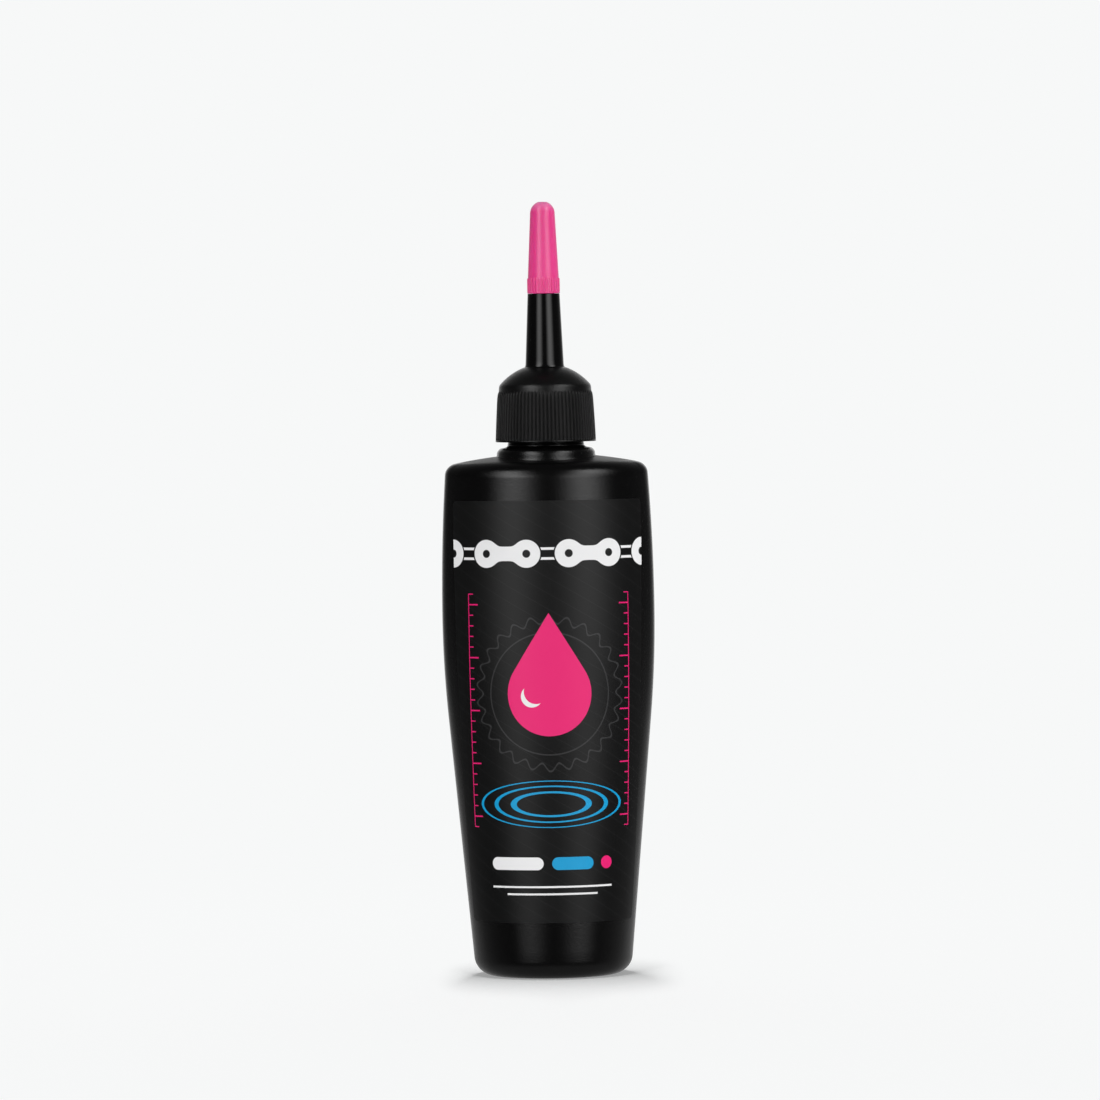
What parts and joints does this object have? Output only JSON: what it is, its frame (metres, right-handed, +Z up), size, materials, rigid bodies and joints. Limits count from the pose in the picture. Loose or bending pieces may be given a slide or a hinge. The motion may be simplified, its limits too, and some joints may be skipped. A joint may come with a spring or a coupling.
{
  "type": "chain lube bottle",
  "caption": "Tapered oval squeeze bottle for chain lubricant with a front label, a ribbed screw cap carrying a long dropper spout, and a push-on tip cap.",
  "frame": {"origin": "middle of the base, on the plane it stands on", "axes": "+Z up along the bottle's axis, +X along its width, and the labelled front faces -Y"},
  "size_m": [0.0504, 0.0366, 0.1832],
  "materials": {
    "bottle_plastic": "satin black blow-moulded polyethylene with a fine grain",
    "label_film": null,
    "washer_foam": "white closed-cell foam",
    "cap_plastic": "black moulded plastic, satin on the ribbed skirt and dome, glossy on the spout",
    "tip_plastic": "semi-gloss pink soft plastic"
  },
  "bodies": {
    "bottle": {"bottle": "bottle_plastic", "front_label": "label_film"},
    "washer": {"sealing_washer": "washer_foam"},
    "spout_cap": {"spout_cap": "cap_plastic"},
    "tip_cap": {"tip_cap": "tip_plastic"}
  },
  "joints": [
    {"name": "cap_lift", "type": "slide", "parent": "bottle", "child": "washer", "axis": [0, 0, 1], "range_m": [0, 0.0048]},
    {"name": "cap_turn", "type": "hinge", "parent": "washer", "child": "spout_cap", "pos_m": [0, 0, 0.137], "axis": [0, 0, 1], "range_deg": [0, 540]},
    {"name": "tip_pull", "type": "slide", "parent": "spout_cap", "child": "tip_cap", "axis": [0, 0, 1], "range_m": [0, 0.022]}
  ],
  "couplings": [
    {"joint": "cap_lift", "follows": "cap_turn", "m_per_rad": 0.00050532}
  ]
}
